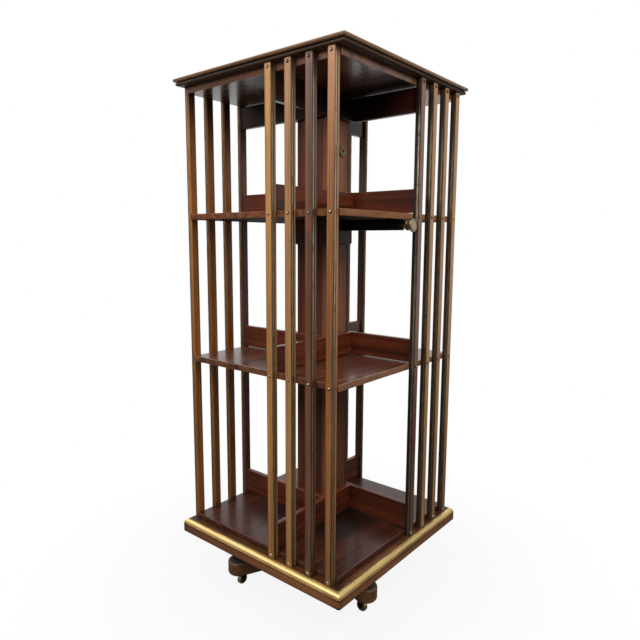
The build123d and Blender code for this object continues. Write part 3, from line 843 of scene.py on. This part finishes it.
# Painted shade: the bars darken towards their feet, and on the two far faces towards their heads under the
# frieze.
foot_shade = {
    "left": (0.0, 0.0, 0.1, 0.6),
    "right": (0.4, 0.0, 0.5, 0.6),
    "back_right": (0.2,) * 4,
    "back_left": (0.2,) * 4,
}
head_shade = {"left": 0.0, "right": 0.0, "back_right": 0.6, "back_left": 0.9}
foot_reach = 0.35
head_reach = 0.16
arris = 0.0012
arris_shade = 0.0016
arris_fade = 0.004
groove_depth = 0.0022
groove_wide = 0.006
groove_front = 0.0016
groove_back = groove_front + groove_wide
front_lip = 0.0003
back_lip = 0.0008
back_round = 0.0006
back_fade = 0.001
end_easing = 0.0008
end_wear = 0.7


def slat_section(wide, thick):
    """The bar's section, a loop of (across, depth from the front, wear). Its arrises and groove edges are
    dark with dirt and painted shade, and its left side has painted shade behind.
    """
    side = wide / 2
    floor = side - groove_depth

    def half_loop(back_shade):
        # The arris and the edges of the groove are darker: dirt, and painted shade of the groove.
        loop = [(side - arris - arris_fade, 0.0, 0.15), (side - arris - arris_shade, 0.0, -0.05)]
        loop += arc((side - arris, arris), arris, 270, 330, steps=3, worn=-0.7)
        loop += [(side, groove_front - front_lip, -0.6), (side, groove_front, -0.8)]
        loop += [(floor, groove_front, -1.0), (floor, groove_back, -1.0)]
        loop += [(side, groove_back, -0.7), (side, groove_back + back_lip, back_shade)]
        loop += arc((side - back_round, thick - back_round), back_round, 0, 90, steps=2, worn=back_shade)
        return loop + [(side - back_round - back_fade, thick, 0.0)]

    # The back of the left side gets painted shade.
    left_half = [(-across, depth, worn) for across, depth, worn in reversed(half_loop(-1.0))]
    return [(0.0, 0.0, 0.25)] + half_loop(0.0) + left_half


def drawn(section, low, high, step, easing=0.0, low_shade=0.0, high_shade=0.0):
    """A bar of one section from a low to a high level, with eased ends, and so much painted shade towards
    each.
    """
    middle = [sum(spot[axis] for spot in section) / len(section) for axis in (0, 1)]
    count = max(2, round((high - low) / step))
    run = high - low - 2 * easing
    stations = [(low + easing + run * place / count, 0.0) for place in range(count + 1)]
    if easing:
        stations = [(low, easing)] + stations + [(high, easing)]
    points = []
    wear_and_painted_light = []
    for level, inset in stations:
        darkening = low_shade * ramp(level, low + foot_reach, low)
        darkening += high_shade * ramp(level, high - head_reach, high)
        for across, depth, worn in section:
            aside = across - middle[0]
            behind = depth - middle[1]
            keep = 1 - inset / math.hypot(aside, behind)
            points.append((middle[0] + aside * keep, middle[1] + behind * keep, level))
            wear_and_painted_light.append(max(worn, end_wear) if inset else worn - darkening)
    return points, skin(len(section), len(stations)), wear_and_painted_light


slat_places = []
for turn, face in enumerate(slat_colours):
    for number in (1, 2, 3, 4):
        low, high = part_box(f"slat_{face}_{number}")
        middle = quarter(-turn) @ ((low + high) / 2)
        sizes = quarter(-turn) @ (high - low)
        wide, thick = abs(sizes.x), abs(sizes.y)
        place = quarter(turn) @ Matrix.Translation((middle.x, middle.y - thick / 2, 0))
        slat_places.append(place)
        darkening = {"low_shade": foot_shade[face][number - 1], "high_shade": head_shade[face]}
        section = slat_section(wide, thick)
        shape = drawn(section, low.z, high.z, step=0.03, easing=end_easing, **darkening)
        bar = Piece()
        bar.add(shape, place, along=2, shift=anywhere())
        wood = slat_woods[slat_colours[face][number - 1]]
        bar.make(f"slat_{face}_{number}_bar", wood, "case", "slat_wood", f"slat_{face}_{number}")


# Brass strips
# A half-round strip of brass is let into the groove of each slat's side, a little below the wood. It was
# never polished, and is grey-green with a rubbed line along its crown, or brown on the two far faces. Its
# edges are darkened as painted shade of the groove.

strip_patina = metal_finish(
    "strip_patina", bright=(178, 168, 140), tarnish=(76, 70, 55), dullness=0.42, cover=0.6, patch=0.03
)
rear_patina = metal_finish(
    "rear_patina", bright=(176, 138, 92), tarnish=(120, 88, 56), dullness=0.6, cover=0.8, patch=0.03
)
near_slats = 8
strip_half = 0.0028
strip_high = 0.0018
strip_shoulder = 0.7
strip_steps = 8
slat_low, slat_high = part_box("slat_left_1")
strip_low, strip_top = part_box("slat_strips")
groove_middle = (groove_front + groove_back) / 2
groove_floor = (slat_high.x - slat_low.x) / 2 - groove_depth
crown = [(groove_floor, groove_middle - strip_half, 0.0)]
for step in range(strip_steps + 1):
    swing = math.pi * step / strip_steps
    rise = strip_shoulder + (1 - strip_shoulder) * math.sin(swing)
    depth = groove_middle - strip_half * math.cos(swing)
    # The crown is rubbed, and the edges get painted shade of the groove.
    crown.append((groove_floor + strip_high * rise, depth, 1.3 * math.sin(swing) ** 3 - 0.6))
crown.append((groove_floor, groove_middle + strip_half, 0.0))
strips = Piece()
rear_strips = Piece()
for order, place in enumerate(slat_places):
    row = strips if order < near_slats else rear_strips
    for side in (-1, 1):
        section = [(side * across, depth, worn) for across, depth, worn in crown]
        row.add(drawn(section, strip_low.z, strip_top.z, step=0.06), place, along=2, shift=anywhere())
strips.make("slat_side_strips", strip_patina, "case", "dull_brass", "slat_strips")
rear_strips.make("rear_side_strips", rear_patina, "case", "dull_brass", "slat_strips")


# Slat screws
# Round-headed screws, one through each slat into the edge of each board. The heads are browned brass with a
# sawn slot, each left at its own angle, a painted highlight in the middle and painted shade at the rim. The
# top row has the weakest painted highlight, and the lowest row has gone coppery.

screw_brass = metal_finish(
    "screw_brass", bright=(196, 172, 138), tarnish=(46, 34, 24), dullness=0.3, cover=0.72, patch=0.006
)
copper_brass = metal_finish(
    "copper_brass", bright=(236, 200, 178), tarnish=(150, 112, 92), dullness=0.34, cover=0.35, patch=0.006
)
head_radius = 0.0037
head_high = 0.0023
head_rows = 10
slot_half = 0.0005
slot_taper = 0.98
slot_deep = 0.001
least_left = 0.1
head_highlight = 1.4
top_highlight = 0.35
rim_shade = 2.4


def round_head(highlight):
    """A domed head about Z with a slot along Y. Highlight is the painted highlight of its middle, and its
    rim gets painted shade.
    """
    dome = (head_radius**2 + head_high**2) / (2 * head_high)
    lines = [(-head_radius * share, 0.0) for share in (0.985, 0.85, 0.62, 0.36)]
    lines += [(-slot_half, 0.0), (-slot_half * slot_taper, slot_deep)]
    lines += [(-across, depth) for across, depth in reversed(lines)]
    points = []
    wear_and_painted_light = []
    for across, depth in lines:
        chord = math.sqrt(head_radius**2 - across**2)
        for row in range(head_rows + 1):
            along = -chord * math.cos(math.pi * row / head_rows)
            distance = math.hypot(across, along)
            height = math.sqrt(dome**2 - distance**2) - dome + head_high
            points.append((across, along, max(height - depth, least_left * height)))
            # Painted highlight in the middle, painted shade towards the rim.
            wear_and_painted_light.append(0.0 if depth else highlight - rim_shade * (distance / head_radius) ** 2)
    faces = []
    size = head_rows + 1
    last = (len(lines) - 1) * size
    for line in range(0, last, size):
        for start in range(line, line + head_rows):
            faces.append([start, start + size, start + size + 1, start + 1])
    underside = list(range(0, last + 1, size))
    underside += list(range(last + 1, last + head_rows))
    underside += list(range(last + head_rows, 0, -size))
    underside += list(range(head_rows - 1, 0, -1))
    return points, faces + [underside], wear_and_painted_light


screwed_boards = ("bottom_shelf", "lower_shelf", "upper_shelf", "frieze_board")
screw_levels = [(low.z + high.z) / 2 for low, high in map(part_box, screwed_boards)]
heads = Piece()
lower_heads = Piece()
outwards = Matrix.Rotation(math.pi / 2, 4, "X")
for place in slat_places:
    for level in screw_levels:
        driven = Matrix.Rotation(chance.uniform(0, math.pi), 4, "Z")
        row = lower_heads if level == screw_levels[0] else heads
        # The top row gets a weaker painted highlight.
        highlight = top_highlight if level == screw_levels[-1] else head_highlight
        row.add(round_head(highlight), place @ Matrix.Translation((0, 0, level)) @ outwards @ driven)
heads.make("slat_screw_heads", screw_brass, "case", "dull_brass", "slat_screws")
lower_heads.make("lower_screw_heads", copper_brass, "case", "dull_brass", "slat_screws")


# Frieze and top
# The frieze board is the ceiling of the top tier, polished below, with painted shade towards the rails. The
# top has a centre panel in a mitred border, and its edge is moulded to a bullnose over a quirk and a small
# bead, with painted shade under the bullnose.

frieze_polish = {"Roughness": 0.24, "Coat Weight": 0.14, "Coat Roughness": 0.1, "Specular IOR Level": 0.3}
frieze_wood = wood_finish(
    "frieze_wood", pale=(130, 88, 64), dark=(78, 48, 33), worn=(140, 104, 78),
    streak=0.013, polish=frieze_polish,
)
shaded_across = (-0.08, 0.02)
low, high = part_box("frieze_board")
points, faces, wear_and_painted_light = block(low, high, rounding=0.0008, step=0.05, fade=0.004)
for spot, point in enumerate(points):
    if point[2] < low.z + hair:
        out, across = in_bay(point)
        # Painted shade across the bay, towards the rails.
        wear_and_painted_light[spot] -= ramp(across, *shaded_across)
frieze = Piece()
frieze.add((points, faces, wear_and_painted_light), shift=anywhere())
frieze.make("frieze_panel", frieze_wood, "case", "case_wood", "frieze_board")

top_polish = {"Roughness": 0.4, "Coat Weight": 0.04, "Coat Roughness": 0.2, "Specular IOR Level": 0.2}
top_wood = wood_finish(
    "top_wood", pale=(144, 108, 76), dark=(96, 66, 44), worn=(160, 128, 94), streak=0.012, polish=top_polish
)
top_low, top_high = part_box("top_board")
top_half = top_high.x
top_inner = top_half - 0.05
bead_high = 0.007
bead_round = 0.0033
bead_inset = 0.004
bead_top = top_low.z + bead_high
bead_line = top_half - bead_inset - bead_round
quirk_line = top_half - 0.0075
nose_low = bead_top + 0.001
nose_round = 0.0041
nose_line = top_half - nose_round
# Painted shade under the bullnose: the underside, the bead and the quirk are dark, and the bullnose's lower
# half a little.
top_profile = [(top_inner, top_low.z, 0.0), (top_half - bead_inset - bead_high, top_low.z, -0.5)]
top_profile += arc((bead_line, top_low.z + bead_round), bead_round, 270, 360, steps=5, worn=-0.9)
top_profile += arc((bead_line, bead_top - bead_round), bead_round, 0, 90, steps=5, worn=-0.8)
top_profile += [(quirk_line, bead_top, -1.0), (quirk_line, nose_low, -1.0)]
top_profile += arc((nose_line, nose_low + nose_round), nose_round, 270, 360, steps=6, worn=-0.25)
top_profile += arc((nose_line, top_high.z - nose_round), nose_round, 0, 90, steps=6, worn=0.5)
top_profile += [(top_inner, top_high.z, 0.0)]
top = Piece()
add_round(top, mitred(top_profile, step=0.025))
top_panel_low = (-top_inner, -top_inner, top_low.z)
top_panel_high = (top_inner, top_inner, top_high.z)
top.add(block(top_panel_low, top_panel_high, rounding=0.0004, step=0.05, fade=0.003), shift=anywhere())
top.make("top_panel", top_wood, "case", "case_wood", "top_board")


# Floor and light
# A pale floor that fades to the white of the background away from the bookcase. Two broad lamps hang above
# and before the left and the right face, and two weaker ones light the far faces.

# Level directions from the camera: towards the white backdrop behind the bookcase, and to the right.
backdrop = (-0.632, 0.775, 0.0)
rightwards = (0.775, 0.632, 0.0)
white = (1.0, 1.0, 1.0, 1.0)


def measured(place, direction):
    """How far a place lies in a direction."""
    product = {"operation": "DOT_PRODUCT"}
    return place.node("ShaderNodeVectorMath", product, {0: place, 1: direction}, "Value")


def seen_by(pen, mirror_share):
    """1 for the camera, and this share for what shows the background in a shiny or clear surface."""
    shiny = pen.node("ShaderNodeLightPath", out="Is Glossy Ray")
    clear = pen.node("ShaderNodeLightPath", out="Is Transmission Ray")
    camera_sees = pen.node("ShaderNodeLightPath", out="Is Camera Ray")
    return (camera_sees + (shiny + clear) * mirror_share).between(0.0, 1.0)


def floor_finish(name):
    """Pale matt floor, white in the distance, which still takes the shadow near the bookcase."""
    material, pen, shader = new_finish(name, {"Roughness": 1.0, "Specular IOR Level": 0.0})
    place = pen.node("ShaderNodeTexCoord", out="Object")
    away = pen.node("ShaderNodeVectorMath", {"operation": "LENGTH"}, {0: place}, "Value")
    speckle = place.cloud((60.0, 60.0, 60.0), 3.0)
    speckled = speckle.mix(paint(204, 203, 201), paint(214, 213, 211))
    pale = pen.node("ShaderNodeLightPath", out="Is Camera Ray").mix(paint(128, 126, 123), speckled)
    pale.feed(shader, "Base Color")
    matt = Wire(pen.tree, shader.outputs["BSDF"])
    glow = pen.node("ShaderNodeEmission", {}, {"Color": white, "Strength": 1.0})
    seen = seen_by(pen, measured(place, backdrop).between(0.55, 1.5))
    share = (away.between(0.25, 0.8) * 0.1 + 0.9) * seen
    mixed = pen.node("ShaderNodeMixShader", {}, {0: share, 1: matt, 2: glow})
    mixed.feed(pen.tree.nodes["Material Output"], "Surface")
    return material


floor_half = 12.0
floor_corners = [(x * floor_half, y * floor_half, 0) for x, y in ((-1, -1), (1, -1), (1, 1), (-1, 1))]
floor_mesh = bpy.data.meshes.new("floor")
floor_mesh.from_pydata(floor_corners, [], [[0, 1, 2, 3]])
floor_mesh.materials.append(floor_finish("pale_floor"))
floor = bpy.data.objects.new("floor", floor_mesh)
bpy.context.scene.collection.objects.link(floor)

world = bpy.data.worlds.new("studio")
world.use_nodes = True
world.node_tree.nodes.clear()
sky = Wire(world.node_tree)
direction = sky.node("ShaderNodeTexCoord", out="Generated")
height = sky.node("ShaderNodeSeparateXYZ", {}, {"Vector": direction}, "Z")
to_the_right = measured(direction, rightwards)
overhead = height.between(0.35, 0.7) * (0.62 - to_the_right * 0.46)
shaded = to_the_right.between(-0.05, 0.15) * height.between(0.3, 0.5) * 0.8
low_behind = measured(direction, backdrop).between(-0.15, 0.25) * (1 - height.between(0.3, 0.7))
seen = seen_by(sky, low_behind * (1 - shaded) + overhead)
soft = sky.node("ShaderNodeBackground", {}, {"Color": white, "Strength": 0.2})
plain = sky.node("ShaderNodeBackground", {}, {"Color": white, "Strength": 1.0})
both = sky.node("ShaderNodeMixShader", {}, {0: seen, 1: soft, 2: plain})
both.feed(world.node_tree.nodes.new("ShaderNodeOutputWorld"), "Surface")
bpy.context.scene.world = world


def lamp(name, place, target_level, power):
    """A square soft box, a metre wide, that points at the axis at a level."""
    data = bpy.data.lights.new(name, "AREA")
    data.size = 1.0
    data.energy = power
    made = bpy.data.objects.new(name, data)
    made.location = place
    aim = Vector((0.0, 0.0, target_level)) - Vector(place)
    made.rotation_euler = aim.to_track_quat("-Z", "Y").to_euler()
    bpy.context.scene.collection.objects.link(made)


lamp("key_lamp", place=(-0.2, -1.5, 1.85), target_level=0.95, power=23.0)
lamp("fill_lamp", place=(1.5, -0.3, 1.9), target_level=0.9, power=20.0)
lamp("left_lamp", place=(-1.75, 0.1, 1.7), target_level=0.8, power=6.0)
lamp("rear_lamp", place=(-0.25, 1.75, 1.7), target_level=0.8, power=6.0)


# Camera
# Before the front corner, at two thirds of the bookcase's height and looking a little down. Its place and
# angles and its focal length were fitted to points of the photograph.

camera_place = Vector((0.89506, -1.09682, 0.84960))
swing_aside = math.radians(-0.29)
pitch = math.radians(-7.92)
roll = math.radians(0.28)
focal_pixels = 569.19
frame_pixels = 640
heading = math.atan2(-camera_place.x, -camera_place.y) + swing_aside
facing = Matrix.Rotation(-heading, 4, "Z")
tilted = Matrix.Rotation(math.pi / 2 + pitch, 4, "X") @ Matrix.Rotation(roll, 4, "Z")
camera_data = bpy.data.cameras.new("camera")
camera_data.sensor_width = 36.0
camera_data.lens = camera_data.sensor_width * focal_pixels / frame_pixels
camera_data.clip_start = 0.01
camera = bpy.data.objects.new("camera", camera_data)
camera.matrix_world = Matrix.Translation(camera_place) @ facing @ tilted
bpy.context.scene.collection.objects.link(camera)
bpy.context.scene.camera = camera
bpy.context.scene.view_settings.view_transform = "Standard"
